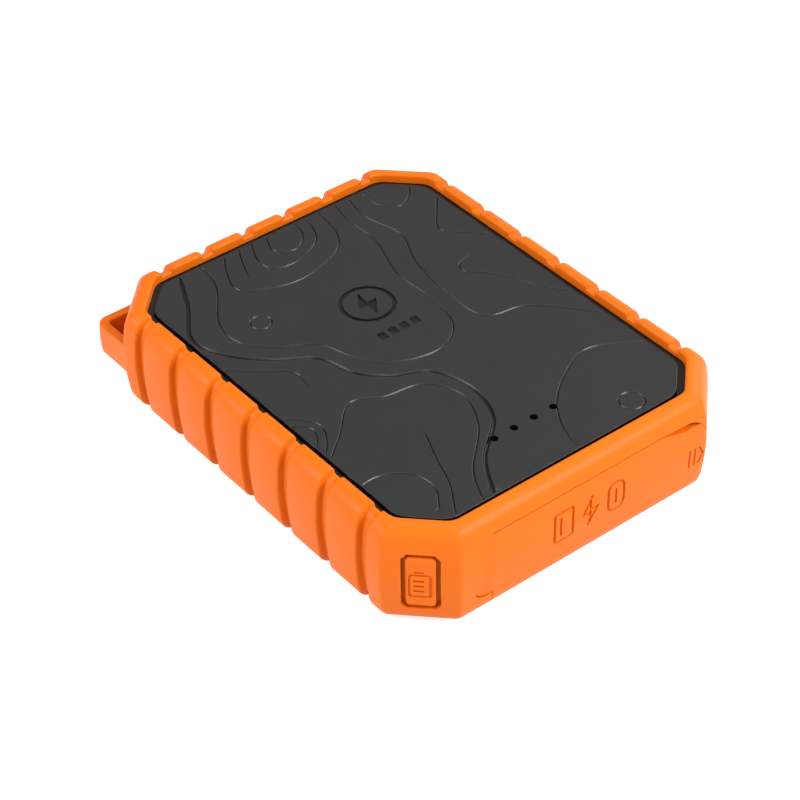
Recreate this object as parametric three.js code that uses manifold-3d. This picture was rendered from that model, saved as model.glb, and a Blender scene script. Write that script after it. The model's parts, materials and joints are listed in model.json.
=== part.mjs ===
// Rugged power bank: a hard two-part case in a ribbed rubber bumper, with a sealed port flap,
// a power button on one cut corner and a lanyard loop on another.
// Millimetres, +Z up. The origin is at the centre of the underside. The port flap faces -Y.
import * as THREE from 'three';
import { mergeVertices } from 'three/addons/utils/BufferGeometryUtils.js';
import Module from 'manifold-3d';

const wasm = await Module();
wasm.setup();

// ---- Driving dimensions ----
const HEIGHT = 25;                 // whole thickness of the bank
const MID = HEIGHT / 2;            // the section is symmetric about this plane
const OPEN_X = 39.9;               // half width of the bumper's top and bottom openings
const OPEN_Y = 52.0;               // half length of those openings
const OPEN_CUT = 8.5;              // leg of the 45 degree corner cuts at the openings
const BULGE = 5.3;                 // how far the bumper's side stands out beyond its opening
const GAP = 0.3;                   // clearance between touching pieces

// ---- Bumper ----
const CORNER_RADIUS = 2;           // rounding where a side meets a corner cut
const LIP = 2.4;                   // thickness of the lips that hold the case
const WALL_GROW = 2.3;             // inner face of the bumper's side wall, from the opening
const GROOVE_WIDTH = 3.4;
const GROOVE_SLOPE = 0.7;          // width of each slanted groove wall
const GROOVE_DEPTH = 1.1;          // on the side
const GROOVE_LIP_DEPTH = 0.8;      // on the lips
const SIDE_GROOVES = 7;
const SIDE_PITCH = 13.13;
const END_GROOVES = 6;
const END_PITCH = 11.3;

// ---- Case ----
const CASE_GROW = WALL_GROW - GAP; // outer face of the hard case, from the opening
const CAVITY_GROW = 0.2;           // inner face of its walls
const CASE_TOP = HEIGHT - LIP - GAP;
const CASE_BOTTOM = LIP + GAP;
const LID_PLATE = 20.5;            // underside of the lid's plate
const TRAY_FLOOR = 4.5;            // inner floor of the lower shell
const TRAY_TOP = 17;               // upper edge of the lower shell's wall
const GASKET = 0.6;
const PANEL_INSET = 1.9;           // channel between the bumper's opening and the panel
const PANEL_TOP = 23.6;
const PANEL_BOTTOM = 21.9;
const BASE_PLATEAU = 1.4;          // underside of the lower shell's raised field

// ---- Port flap ----
const FACE_Y = -(OPEN_Y + BULGE);  // the bank's front face
const FLAP_THICK = 2;
const FLAP_BACK = FACE_Y + FLAP_THICK;
const FLAP_LEFT = -24.8;
const FLAP_RIGHT = 35.3;
const FLAP_BOTTOM = 1.6;
const FLAP_TOP = 20.4;
const FLAP_CORNER = 4.5;           // its rounded top corner at +X
const NOTCH = { left: 21.3, low: 29.5, right: 33.3, depth: 2 };  // for a fingertip, in its top edge
const HINGE_LEFT = -29.5;
const HINGE_BOTTOM = 5;
const HINGE_BACK = FACE_Y + 1.4;
const HINGE_INSET = 0.3;
const HINGE_CORNER = 2.6;
const WINDOW = { x: 3.5, z: 11.4, width: 52, height: 13, radius: 1.5 };  // in the wall behind it

// ---- Ports: x centre, width, height and depth of each metal shell ----
const BOARD_TOP = 7.4;
const BOARD_THICK = 1.4;
const PORT_MOUTH = -52.2;
const SHEET = 0.3;
const USB_A = { x: -8, width: 13.1, height: 5.7, depth: 13, radius: 0.8 };
const USB_C = { x: 14, width: 9, height: 3.3, depth: 7.3, radius: 1.45 };
const POCKET_MARGIN = 1.3;         // pocket around each port in the port frame
const POCKET_FLOOR = -52.4;
const PLUG_CLEARANCE = 0.7;
const PORT_FRAME = { x: [-20.3, 25.7], y: [-OPEN_Y - CASE_GROW, -51], z: [5.3, 15.6] };

// ---- Button on the cut corner at -X -Y ----
const BUTTON_WIDTH = 6.2;
const BUTTON_HEIGHT = 12.7;
const BUTTON_Z = 12;
const BUTTON_FACE = BULGE - 0.2;
const BUTTON_BACK = 3;
const STEM_Z = 11;
const RECESS = { width: 8, height: 14.5, z: 11.8, cut: 1.2 };

const CASE_SCREWS = [[32, 44], [-32, 44], [35.2, -33], [-35.2, -33]];
const BOARD_SCREWS = [[26.5, -45.5], [-19.5, -46]];
const LED_Y = -37;
const LED_PITCH = 5.38;
const LED_X = [-1.5, -0.5, 0.5, 1.5].map((step) => step * LED_PITCH);
const LED_HOLE = 0.925;            // radius of the holes over them

// ---- Materials ----
const finish = (color, roughness, metalness = 0) =>
  new THREE.MeshStandardMaterial({ color, roughness, metalness });
const orangeRubber = () => finish(0xff7f2a, 0.6);
const charcoalPlastic = () => finish(0x3e3e3e, 0.55);
const blackPlastic = () => finish(0x1c1c1e, 0.5);
const steel = () => finish(0xb8bcc0, 0.3, 1);

// ---- Solids: join, cut and convert ----
function toSolid(geometry) {
  const bare = geometry.clone();
  bare.deleteAttribute('normal');
  bare.deleteAttribute('uv');
  const merged = mergeVertices(bare, 1e-4);
  return new wasm.Manifold(new wasm.Mesh({
    numProp: 3,
    vertProperties: new Float32Array(merged.attributes.position.array),
    triVerts: new Uint32Array(merged.index.array),
  }));
}

function toGeometry(solid) {
  const { vertProperties, triVerts } = solid.getMesh();
  const geometry = new THREE.BufferGeometry();
  geometry.setAttribute('position', new THREE.BufferAttribute(vertProperties, 3));
  geometry.setIndex(new THREE.BufferAttribute(triVerts, 1));
  geometry.computeVertexNormals();
  return geometry;
}

const cutAll = (solid, cutters) => cutters.reduce((rest, cutter) => rest.subtract(cutter), solid);
const joinAll = (solids) => solids.reduce((whole, next) => whole.add(next));

// ---- Basic shapes ----
function block([x0, x1], [y0, y1], [z0, z1]) {
  const box = new THREE.BoxGeometry(x1 - x0, y1 - y0, z1 - z0);
  return toSolid(box.translate((x0 + x1) / 2, (y0 + y1) / 2, (z0 + z1) / 2));
}

function rod(x, y, radius, z0, z1, sides = 16) {
  const cylinder = new THREE.CylinderGeometry(radius, radius, z1 - z0, sides);
  return toSolid(cylinder.rotateX(Math.PI / 2).translate(x, y, (z0 + z1) / 2));
}

function prism(shape, z0, z1) {
  const options = { depth: z1 - z0, bevelEnabled: false, curveSegments: 4 };
  return toSolid(new THREE.ExtrudeGeometry(shape, options).translate(0, 0, z0));
}

// A shape drawn in (x, z) and extruded from y0 towards +Y.
function slab(shape, y0, y1) {
  const options = { depth: y1 - y0, bevelEnabled: false, curveSegments: 4 };
  return toSolid(new THREE.ExtrudeGeometry(shape, options).rotateX(Math.PI / 2).translate(0, y1, 0));
}

function roundedRectangle(width, height, radius) {
  const right = width / 2;
  const top = height / 2;
  const shape = new THREE.Shape();
  shape.moveTo(radius - right, -top);
  shape.lineTo(right - radius, -top);
  shape.absarc(right - radius, radius - top, radius, -Math.PI / 2, 0);
  shape.lineTo(right, top - radius);
  shape.absarc(right - radius, top - radius, radius, 0, Math.PI / 2);
  shape.lineTo(radius - right, top);
  shape.absarc(radius - right, top - radius, radius, Math.PI / 2, Math.PI);
  shape.lineTo(-right, radius - top);
  shape.absarc(radius - right, radius - top, radius, Math.PI, 1.5 * Math.PI);
  return shape;
}

// ---- The eight-sided outline ----
// A station is a place on the outline: its point there, how it moves as the outline grows by
// 1 mm, and 1 where it lies in a groove.
const HALF_TURN = Math.PI / 8;     // half of the 45 degree turn at each outline corner
const ARC_STEPS = 2;

const CORNERS = [
  [OPEN_X, OPEN_CUT - OPEN_Y], [OPEN_X, OPEN_Y - OPEN_CUT],
  [OPEN_X - OPEN_CUT, OPEN_Y], [OPEN_CUT - OPEN_X, OPEN_Y],
  [-OPEN_X, OPEN_Y - OPEN_CUT], [-OPEN_X, OPEN_CUT - OPEN_Y],
  [OPEN_CUT - OPEN_X, -OPEN_Y], [OPEN_X - OPEN_CUT, -OPEN_Y],
].map(([x, y]) => new THREE.Vector2(x, y));

const direction = (angle) => new THREE.Vector2(Math.cos(angle), Math.sin(angle));
const evenly = (count, pitch) => Array.from({ length: count }, (_, i) => (i - (count - 1) / 2) * pitch);

const GROOVES_ON_SIDE = {
  0: evenly(SIDE_GROOVES, SIDE_PITCH),
  2: evenly(END_GROOVES, END_PITCH),
  4: evenly(SIDE_GROOVES, SIDE_PITCH),
};

function cornerStations(corner) {
  const mitre = direction(corner * 2 * HALF_TURN - HALF_TURN);
  const growth = mitre.clone().divideScalar(Math.cos(HALF_TURN));
  const centre = CORNERS[corner].clone().addScaledVector(growth, -CORNER_RADIUS);
  return Array.from({ length: ARC_STEPS + 1 }, (_, step) => {
    const angle = (corner - 1 + step / ARC_STEPS) * 2 * HALF_TURN;
    const point = centre.clone().addScaledVector(direction(angle), CORNER_RADIUS);
    return { point, growth, groove: 0 };
  });
}

function grooveStations(side) {
  const outward = direction(side * 2 * HALF_TURN);
  const along = direction(side * 2 * HALF_TURN + Math.PI / 2);
  const middle = CORNERS[side].clone().add(CORNERS[(side + 1) % CORNERS.length]).multiplyScalar(0.5);
  const outer = GROOVE_WIDTH / 2;
  const inner = outer - GROOVE_SLOPE;
  const marks = [[-outer, 0], [-inner, 1], [inner, 1], [outer, 0]];
  return (GROOVES_ON_SIDE[side] ?? []).flatMap((centre) => marks.map(([offset, groove]) => ({
    point: middle.clone().addScaledVector(along, centre + offset),
    growth: outward,
    groove,
  })));
}

const plainStations = CORNERS.flatMap((_, corner) => cornerStations(corner));
const groovedStations = CORNERS.flatMap((_, k) => [...cornerStations(k), ...grooveStations(k)]);
const placeAt = (station, grow) => station.point.clone().addScaledVector(station.growth, grow);

function outline(grow) {
  return new THREE.Shape(plainStations.map((station) => placeAt(station, grow)));
}

// ---- The bumper's section ----
// Points are (growth from the opening, height above the middle plane), from the middle up.
const REST_LAND = 1.5;             // width of the flat that the bank rests on
const CROWN_DROP = 0.2;            // fall of the top lip over that width

function upperSection(drop) {
  const section = new THREE.Path();
  section.moveTo(BULGE, 0);
  section.quadraticCurveTo(BULGE - 0.1, 4.5, BULGE - 0.55, 7.6);
  section.bezierCurveTo(BULGE - 0.9, 10, BULGE - 1.7, MID - 0.8, REST_LAND, MID - drop);
  section.lineTo(0, MID);
  return section.getPoints(3);
}

function outerSection() {
  const top = upperSection(CROWN_DROP);
  const bottom = upperSection(0).map((point) => new THREE.Vector2(point.x, -point.y));
  return [...bottom.reverse(), ...top.slice(1)];
}

function sectionNormal(points, index) {
  const before = points[Math.max(index - 1, 0)];
  const after = points[Math.min(index + 1, points.length - 1)];
  return new THREE.Vector2(after.y - before.y, before.x - after.x).normalize();
}

function ringMesh(stations, sections) {
  const positions = [];
  const index = [];
  const count = sections(stations[0]).length;
  stations.forEach((station, i) => {
    sections(station).forEach(({ grow, height }) => {
      const place = placeAt(station, grow);
      positions.push(place.x, place.y, MID + height);
    });
    const here = i * count;
    const next = ((i + 1) % stations.length) * count;
    for (let j = 0; j < count; j += 1) {
      const up = (j + 1) % count;
      index.push(here + j, next + j, next + up, here + j, next + up, here + up);
    }
  });
  const geometry = new THREE.BufferGeometry();
  geometry.setAttribute('position', new THREE.Float32BufferAttribute(positions, 3));
  geometry.setIndex(index);
  return toSolid(geometry);
}

function groovedSection(station) {
  const points = outerSection();
  const last = points.length - 1;
  const outer = points.map((point, i) => {
    if (i === 0 || i === last) {
      return { grow: 0, height: point.y - Math.sign(point.y) * station.groove * GROOVE_LIP_DEPTH };
    }
    const normal = sectionNormal(points, i).multiplyScalar(station.groove * GROOVE_DEPTH);
    return { grow: point.x - normal.x, height: point.y - normal.y };
  });
  const lip = MID - LIP;
  return [...outer, { grow: 0, height: lip }, { grow: WALL_GROW, height: lip },
    { grow: WALL_GROW, height: -lip }, { grow: 0, height: -lip }];
}

// The bank's smooth outer form, drawn in by an inset, as one full solid.
function envelope(inset) {
  const points = outerSection();
  const rings = points.map((point, i) => {
    const normal = sectionNormal(points, i);
    return { grow: point.x - inset * normal.x, height: point.y - inset * normal.y };
  });
  const shell = ringMesh(plainStations, () => rings);
  const inside = prism(outline(0.01 - inset), MID + rings[0].height, MID + rings.at(-1).height);
  return shell.add(inside);
}

// ---- Port flap, its hinge strip and the pocket they sit in ----
function flapShape(margin) {
  const left = FLAP_LEFT - margin;
  const right = FLAP_RIGHT + margin;
  const bottom = FLAP_BOTTOM - margin;
  const top = FLAP_TOP + margin;
  const shape = new THREE.Shape();
  shape.moveTo(left, bottom);
  shape.lineTo(right, bottom);
  shape.lineTo(right, top - FLAP_CORNER);
  shape.quadraticCurveTo(right - 1.3, top, right - FLAP_CORNER, top);
  shape.lineTo(left, top);
  return shape;
}

function notchShape() {
  const low = FLAP_TOP - NOTCH.depth;
  const above = FLAP_TOP + 1;
  const shape = new THREE.Shape();
  shape.moveTo(NOTCH.left, above);
  shape.lineTo(NOTCH.left, FLAP_TOP);
  shape.bezierCurveTo(NOTCH.left + 3, FLAP_TOP - 0.3, NOTCH.low - 3, low, NOTCH.low, low);
  shape.quadraticCurveTo(NOTCH.right - 0.8, low, NOTCH.right, FLAP_TOP - 1.6);
  shape.lineTo(NOTCH.right, above);
  return shape;
}

function hingeShape(margin) {
  const left = HINGE_LEFT - margin;
  const right = FLAP_LEFT - GAP + margin / 2;
  const bottom = HINGE_BOTTOM - margin;
  const radius = HINGE_CORNER + margin;
  const shape = new THREE.Shape();
  shape.moveTo(right, bottom);
  shape.lineTo(right, FLAP_TOP + margin);
  shape.lineTo(left, FLAP_TOP + margin);
  shape.lineTo(left, bottom + radius);
  shape.absarc(left + radius, bottom + radius, radius, Math.PI, 1.5 * Math.PI);
  return shape;
}

function flapPocket() {
  const front = FACE_Y - 1;
  const floor = FLAP_BACK + GAP;
  return slab(flapShape(GAP), front, floor).add(slab(hingeShape(GAP), front, floor));
}

function portCentre(port) {
  return BOARD_TOP + GAP + port.height / 2;
}

function portSlab(port, margin, y0, y1) {
  const radius = port.radius + (margin < 0 ? margin : margin / 2);
  const shape = roundedRectangle(port.width + 2 * margin, port.height + 2 * margin, radius);
  return slab(shape, y0, y1).translate([port.x, 0, portCentre(port)]);
}

function portFlap() {
  const whole = slab(flapShape(0), FACE_Y - 1, FLAP_BACK).intersect(envelope(0));
  const plate = whole.subtract(slab(notchShape(), FACE_Y - 1, FLAP_BACK + 1));
  const plugs = [USB_A, USB_C].map((port) => portSlab(port, POCKET_MARGIN - PLUG_CLEARANCE,
    FLAP_BACK - 0.2, POCKET_FLOOR - GAP));
  return joinAll([plate, ...plugs]);
}

function hingeStrip() {
  return slab(hingeShape(0), FACE_Y - 1, HINGE_BACK).intersect(envelope(HINGE_INSET));
}

// ---- Button: built along the outward normal of the corner cut, then turned into place ----
const CUT_MIDDLE = CORNERS[5].clone().add(CORNERS[6]).multiplyScalar(0.5);

function onCut(shape, grow0, grow1, height) {
  const options = { depth: grow1 - grow0, bevelEnabled: false, curveSegments: 4 };
  const geometry = new THREE.ExtrudeGeometry(shape, options);
  geometry.rotateX(Math.PI / 2).translate(0, -grow0, 0);
  geometry.rotateZ(-Math.PI / 4).translate(CUT_MIDDLE.x, CUT_MIDDLE.y, height);
  return toSolid(geometry);
}

function chamferedRectangle(width, height, cut) {
  const right = width / 2;
  const top = height / 2;
  return new THREE.Shape([
    [right - cut, -top], [right, cut - top], [right, top - cut], [right - cut, top],
    [cut - right, top], [-right, top - cut], [-right, cut - top], [cut - right, -top],
  ].map(([x, y]) => new THREE.Vector2(x, y)));
}

function powerButton() {
  const cap = onCut(roundedRectangle(BUTTON_WIDTH, BUTTON_HEIGHT, 0.9), BUTTON_BACK, BUTTON_FACE,
    BUTTON_Z);
  const stem = onCut(roundedRectangle(2.6, 2.4, 0.3), -2, BUTTON_BACK + 0.2, STEM_Z);
  return cap.add(stem);
}

const switchPlunger = () => onCut(roundedRectangle(2, 1.5, 0.3), -4.4, -2 - GAP, STEM_Z);

function switchBody() {
  const top = STEM_Z + 1.7;
  const bottom = BOARD_TOP + GAP;
  const housing = onCut(roundedRectangle(6, top - bottom, 0.2), -7.6, -4, (top + bottom) / 2);
  const bore = onCut(roundedRectangle(2.6, 2.1, 0.3), -5.4, -3.9, STEM_Z);
  return housing.subtract(bore);
}

// ---- Bumper and loop ----
function bumper() {
  const frame = ringMesh(groovedStations, groovedSection);
  const window = slab(roundedRectangle(WINDOW.width, WINDOW.height, WINDOW.radius), FACE_Y - 1, -OPEN_Y)
    .translate([WINDOW.x, 0, WINDOW.z]);
  const recess = chamferedRectangle(RECESS.width, RECESS.height, RECESS.cut);
  const buttonHole = onCut(recess, WALL_GROW - 1, BULGE + 2, RECESS.z);
  return cutAll(frame, [flapPocket(), window, buttonHole]);
}

const LOOP_BAR = 2.2;
const LOOP_INSET = 0.2;            // the loop's faces lie just inside the sides' faces
const LOOP_BOTTOM = 8.6;
const LOOP_TOP = 16.1;

function lanyardLoop() {
  const x = -(OPEN_X + BULGE - LOOP_INSET);
  const y = OPEN_Y + BULGE - LOOP_INSET;
  const reach = 14;
  const outer = 2.8;
  const inner = outer - LOOP_BAR + 0.4;
  const shape = new THREE.Shape();
  shape.moveTo(x, y - reach);
  shape.lineTo(x + LOOP_BAR, y - reach);
  shape.lineTo(x + LOOP_BAR, y - LOOP_BAR - inner);
  shape.absarc(x + LOOP_BAR + inner, y - LOOP_BAR - inner, inner, Math.PI, Math.PI / 2, true);
  shape.lineTo(x + reach, y - LOOP_BAR);
  shape.lineTo(x + reach, y);
  shape.lineTo(x + outer, y);
  shape.absarc(x + outer, y - outer, outer, Math.PI / 2, Math.PI);
  return prism(shape, LOOP_BOTTOM, LOOP_TOP).subtract(envelope(-GAP));
}

// ---- Case ----
const BOSS_RADIUS = 3.2;
const LID_BOSS_RADIUS = 2.8;
const STANDOFF_RADIUS = 2.2;
const BOARD_HOLE = 1.2;
const SCREW = { head: 2.2, headHeight: 1.8, shank: 1.2, tip: 20.4 };
const COUNTERBORE = 4;
const PIN_RADIUS = 0.75;           // of the light guide's pins

function lowerShell() {
  const body = prism(outline(CASE_GROW), CASE_BOTTOM, TRAY_TOP);
  const cavity = prism(outline(CAVITY_GROW), TRAY_FLOOR, TRAY_TOP + 1);
  const plateau = prism(outline(-PANEL_INSET), BASE_PLATEAU, CASE_BOTTOM + 0.1);
  const bosses = CASE_SCREWS.map(([x, y]) => rod(x, y, BOSS_RADIUS, CASE_BOTTOM, TRAY_TOP));
  const standoffs = BOARD_SCREWS.map(([x, y]) => rod(x, y, STANDOFF_RADIUS, CASE_BOTTOM,
    BOARD_TOP - BOARD_THICK - GAP, 12));
  const holes = CASE_SCREWS.flatMap(([x, y]) => [
    rod(x, y, SCREW.head + GAP, BASE_PLATEAU - 1, COUNTERBORE),
    rod(x, y, SCREW.shank + GAP, COUNTERBORE - 1, TRAY_TOP + 1, 12),
  ]);
  const pilots = BOARD_SCREWS.map(([x, y]) => rod(x, y, BOARD_HOLE, TRAY_FLOOR - 0.3, BOARD_TOP, 12));
  const portWindow = block([PORT_FRAME.x[0] - GAP, PORT_FRAME.x[1] + GAP], [-OPEN_Y - 3, -OPEN_Y + 2],
    [PORT_FRAME.z[0] - GAP, PORT_FRAME.z[1] + GAP]);
  const stemHole = onCut(roundedRectangle(3.4, 3.2, 0.4), CAVITY_GROW - 1, CASE_GROW + 1, STEM_Z);
  const hollow = cutAll(body, [cavity]);
  return cutAll(joinAll([hollow, plateau, ...bosses, ...standoffs]), [...holes, ...pilots, portWindow,
    stemHole]);
}

function upperShell() {
  const edge = TRAY_TOP + 2 * GAP + GASKET;
  const body = prism(outline(CASE_GROW), edge, CASE_TOP);
  const cavity = prism(outline(CAVITY_GROW), edge - 1, LID_PLATE);
  const pocket = prism(outline(-PANEL_INSET + GAP), PANEL_BOTTOM - GAP, CASE_TOP + 1);
  const bosses = CASE_SCREWS.map(([x, y]) => rod(x, y, LID_BOSS_RADIUS, TRAY_TOP + GAP,
    LID_PLATE + 0.2));
  const holes = CASE_SCREWS.map(([x, y]) => rod(x, y, SCREW.shank + GAP, TRAY_TOP, SCREW.tip + GAP, 12));
  const pipes = LED_X.map((x) => rod(x, LED_Y, PIN_RADIUS + GAP, LID_PLATE - 1, CASE_TOP + 1, 12));
  return cutAll(joinAll([cutAll(body, [cavity]), ...bosses]), [pocket, ...holes, ...pipes]);
}

function shellGasket() {
  const bottom = TRAY_TOP + GAP;
  const ring = prism(outline(CASE_GROW - 0.4), bottom, bottom + GASKET);
  return ring.subtract(prism(outline(CAVITY_GROW + 0.4), bottom - 1, bottom + GASKET + 1));
}

function topPanel() {
  const plate = prism(outline(-PANEL_INSET), PANEL_BOTTOM, PANEL_TOP);
  return cutAll(plate, LED_X.map((x) => rod(x, LED_Y, LED_HOLE, PANEL_BOTTOM - 1,
    PANEL_TOP + 1)));
}

function portFrame() {
  const plate = block(PORT_FRAME.x, PORT_FRAME.y, PORT_FRAME.z);
  const cutters = [USB_A, USB_C].flatMap((port) => [
    portSlab(port, POCKET_MARGIN, PORT_FRAME.y[0] - 1, POCKET_FLOOR),
    portSlab(port, GAP, POCKET_FLOOR - 1, PORT_FRAME.y[1] + 1),
  ]);
  return cutAll(plate, cutters);
}

function lightGuide() {
  const bar = block([LED_X[0] - 2, LED_X.at(-1) + 2], [LED_Y - 1.2, LED_Y + 1.2], [18, 19.4]);
  const pins = LED_X.map((x) => rod(x, LED_Y, PIN_RADIUS, BOARD_TOP + 1.3,
    PANEL_BOTTOM - GAP, 12));
  return joinAll([bar, ...pins]);
}

// ---- Screws ----
function screwProfile(headRadius, headHeight, shankRadius, length) {
  const tip = shankRadius * 0.8;
  return [[0, 0], [headRadius * 0.85, 0], [headRadius, 0.3], [headRadius, headHeight],
    [shankRadius, headHeight], [shankRadius, length - tip], [0, length]]
    .map(([radius, height]) => new THREE.Vector2(radius, height));
}

// A screw with its head at z = 0 and its shank along +Z, and a cross recess in the head.
function screw(headRadius, headHeight, shankRadius, length) {
  const profile = screwProfile(headRadius, headHeight, shankRadius, length);
  const body = toSolid(new THREE.LatheGeometry(profile, 14).rotateX(Math.PI / 2));
  const arm = headRadius * 0.6;
  const slot = 0.25;
  const depth = headHeight * 0.6;
  const crossing = block([-arm, arm], [-slot, slot], [-1, depth]);
  return cutAll(body, [crossing, block([-slot, slot], [-arm, arm], [-1, depth])]);
}

// ---- Circuit board and its parts ----
function mainBoard() {
  const shape = new THREE.Shape([
    [-31.3, -47.6], [-28.3, -50.6], [31.3, -50.6], [31.3, -29.8], [-31.3, -29.8],
  ].map(([x, y]) => new THREE.Vector2(x, y)));
  const plate = prism(shape, BOARD_TOP - BOARD_THICK, BOARD_TOP);
  return cutAll(plate, BOARD_SCREWS.map(([x, y]) => rod(x, y, BOARD_HOLE, 0, HEIGHT, 12)));
}

function portShell(port) {
  const back = PORT_MOUTH + port.depth;
  return portSlab(port, 0, PORT_MOUTH, back).subtract(portSlab(port, -SHEET, PORT_MOUTH - 1, back - SHEET));
}

// The tongue of a port: a thin blade from a block at the back of its shell.
function portTongue(port, blade, blockDepth, rise) {
  const inside = PORT_MOUTH + port.depth - SHEET - GAP;
  const centre = portCentre(port);
  const z = centre + rise;
  const root = portSlab(port, -SHEET - GAP, inside - blockDepth, inside);
  const tip = block([port.x - blade.width / 2, port.x + blade.width / 2],
    [PORT_MOUTH + blade.setback, inside - blockDepth + 0.2], [z - blade.thick / 2, z + blade.thick / 2]);
  return root.add(tip);
}

// Parts that stand on the board: centre, width, length and height.
const CHARGE_CONTROLLER = { x: -19, y: -36.5, width: 5, length: 5, height: 0.9 };
const OUTPUT_CONTROLLER = { x: 13, y: -36.8, width: 4, length: 4, height: 0.9 };
const INDUCTOR = { x: 22, y: -36.5, width: 7, length: 7, height: 4 };
const CAPACITOR_FOOT = { x: 4, y: -43.5, width: 5, length: 5, height: 0.9 };
const CAPACITOR = { radius: 2.4, top: BOARD_TOP + 6.4 };
const LED = { y: LED_Y, width: 1.6, length: 0.8, height: 0.7 };

function chip({ x, y, width, length, height }) {
  const foot = BOARD_TOP + GAP;
  return block([x - width / 2, x + width / 2], [y - length / 2, y + length / 2], [foot, foot + height]);
}

function capacitor() {
  const { x, y, height } = CAPACITOR_FOOT;
  return chip(CAPACITOR_FOOT).add(rod(x, y, CAPACITOR.radius, BOARD_TOP + GAP + height - 0.1,
    CAPACITOR.top));
}

// ---- Battery ----
const CELL = { width: 37.2, x: 19.5, y: [-28.3, 40.2], z: [5.4, 18.6] };

function batteryCell(side) {
  const shape = roundedRectangle(CELL.width, CELL.z[1] - CELL.z[0], 2.4);
  const middle = (CELL.z[0] + CELL.z[1]) / 2;
  return slab(shape, CELL.y[0], CELL.y[1]).translate([side * CELL.x, 0, middle]);
}

// A tab strip runs from a cell's front face down to the board.
const TAB_WIDTH = 5;
const TAB_SHEET = 0.25;

function cellTab(x) {
  const top = 12.2;
  const front = CELL.y[0] - GAP;
  const foot = BOARD_TOP + GAP;
  const drop = front - 1.5;
  const toe = drop - 2.5;
  const shape = new THREE.Shape([
    [front, top], [drop - TAB_SHEET, top], [drop - TAB_SHEET, foot + TAB_SHEET], [toe, foot + TAB_SHEET],
    [toe, foot], [drop, foot], [drop, top - TAB_SHEET], [front, top - TAB_SHEET],
  ].map(([y, z]) => new THREE.Vector2(y, z)));
  const geometry = new THREE.ExtrudeGeometry(shape, { depth: TAB_WIDTH, bevelEnabled: false });
  geometry.rotateY(Math.PI / 2).rotateX(Math.PI / 2);
  return toSolid(geometry.translate(x - TAB_WIDTH / 2, 0, 0));
}

// Pads under and over each cell.
const PAD = { width: 30, length: 56, radius: 1, y: 6 };

function cellPad(side, bottom, top) {
  const shape = roundedRectangle(PAD.width, PAD.length, PAD.radius);
  return prism(shape, bottom, top).translate([side * CELL.x, PAD.y, 0]);
}

const padUnder = (side) => cellPad(side, TRAY_FLOOR + GAP, CELL.z[0] - GAP);
const padOver = (side) => cellPad(side, CELL.z[1] + GAP, LID_PLATE - GAP);

// ---- Assembly ----
function piece(name, solid, material) {
  const mesh = new THREE.Mesh(toGeometry(solid), material);
  mesh.name = name;
  return mesh;
}

function group(...children) {
  const parent = new THREE.Group();
  parent.add(...children);
  return parent;
}

function placed(mesh, x, y, z, turned = false) {
  mesh.position.set(x, y, z);
  mesh.rotation.x = turned ? Math.PI : 0;
  return mesh;
}

const skin = group(
  piece('bumper', bumper(), orangeRubber()),
  piece('lanyard_loop', lanyardLoop(), orangeRubber()),
  piece('flap_hinge', hingeStrip(), orangeRubber()),
  piece('port_flap', portFlap(), orangeRubber()),
  piece('power_button', powerButton(), orangeRubber()),
);

const hardCase = group(
  piece('lower_shell', lowerShell(), blackPlastic()),
  piece('upper_shell', upperShell(), blackPlastic()),
  piece('shell_gasket', shellGasket(), finish(0x2a2a2a, 0.8)),
  piece('top_panel', topPanel(), charcoalPlastic()),
  piece('port_frame', portFrame(), blackPlastic()),
  piece('light_guide', lightGuide(), finish(0xd8dce0, 0.2)),
  ...CASE_SCREWS.map(([x, y], i) => placed(
    piece(`case_screw_${i + 1}`, screw(SCREW.head, SCREW.headHeight, SCREW.shank,
      SCREW.tip - COUNTERBORE + SCREW.headHeight + GAP), steel()),
    x, y, COUNTERBORE - SCREW.headHeight - GAP)),
);

const electronics = group(
  piece('main_board', mainBoard(), finish(0x1f5a36, 0.5)),
  ...BOARD_SCREWS.map(([x, y], i) => placed(
    piece(`board_screw_${i + 1}`, screw(1.9, 1.2, 0.9, 4.2), steel()),
    x, y, BOARD_TOP + GAP + 1.2, true)),
  piece('usb_a_shell', portShell(USB_A), steel()),
  piece('usb_a_tongue', portTongue(USB_A, { width: 11, thick: 1.8, setback: 1.2 }, 3, 1),
    finish(0xe8e8e6, 0.5)),
  piece('usb_c_shell', portShell(USB_C), steel()),
  piece('usb_c_tongue', portTongue(USB_C, { width: 6.7, thick: 0.7, setback: 0.8 }, 2, 0),
    finish(0x1c1c1e, 0.5)),
  piece('charge_controller', chip(CHARGE_CONTROLLER), finish(0x161616, 0.6)),
  piece('output_controller', chip(OUTPUT_CONTROLLER), finish(0x161616, 0.6)),
  piece('power_inductor', chip(INDUCTOR), finish(0x3a3a3c, 0.7)),
  piece('output_capacitor', capacitor(), finish(0xc4c6c8, 0.4, 0.8)),
  ...LED_X.map((x, i) => piece(`led_${i + 1}`, chip({ ...LED, x }), finish(0xf2efe0, 0.4))),
  piece('switch_body', switchBody(), finish(0x222224, 0.5)),
  piece('switch_plunger', switchPlunger(), finish(0xd9c9a4, 0.5)),
);

const sides = [-1, 1];
const battery = group(
  ...sides.map((side, i) => piece(`battery_cell_${i + 1}`, batteryCell(side), finish(0xaeb2b6, 0.35, 0.7))),
  ...[-26, -12, 12, 26].map((x, i) => piece(`cell_tab_${i + 1}`, cellTab(x), finish(0xc9c6bd, 0.3, 1))),
  ...sides.map((side, i) => piece(`cell_tape_${i + 1}`, padUnder(side), finish(0xe6e6e0, 0.8))),
  ...sides.map((side, i) => piece(`foam_pad_${i + 1}`, padOver(side), finish(0x2b2b2e, 0.95))),
);

export default group(skin, hardCase, electronics, battery);
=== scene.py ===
"""Looks for the rugged power bank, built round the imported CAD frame."""
import json
import math

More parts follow.
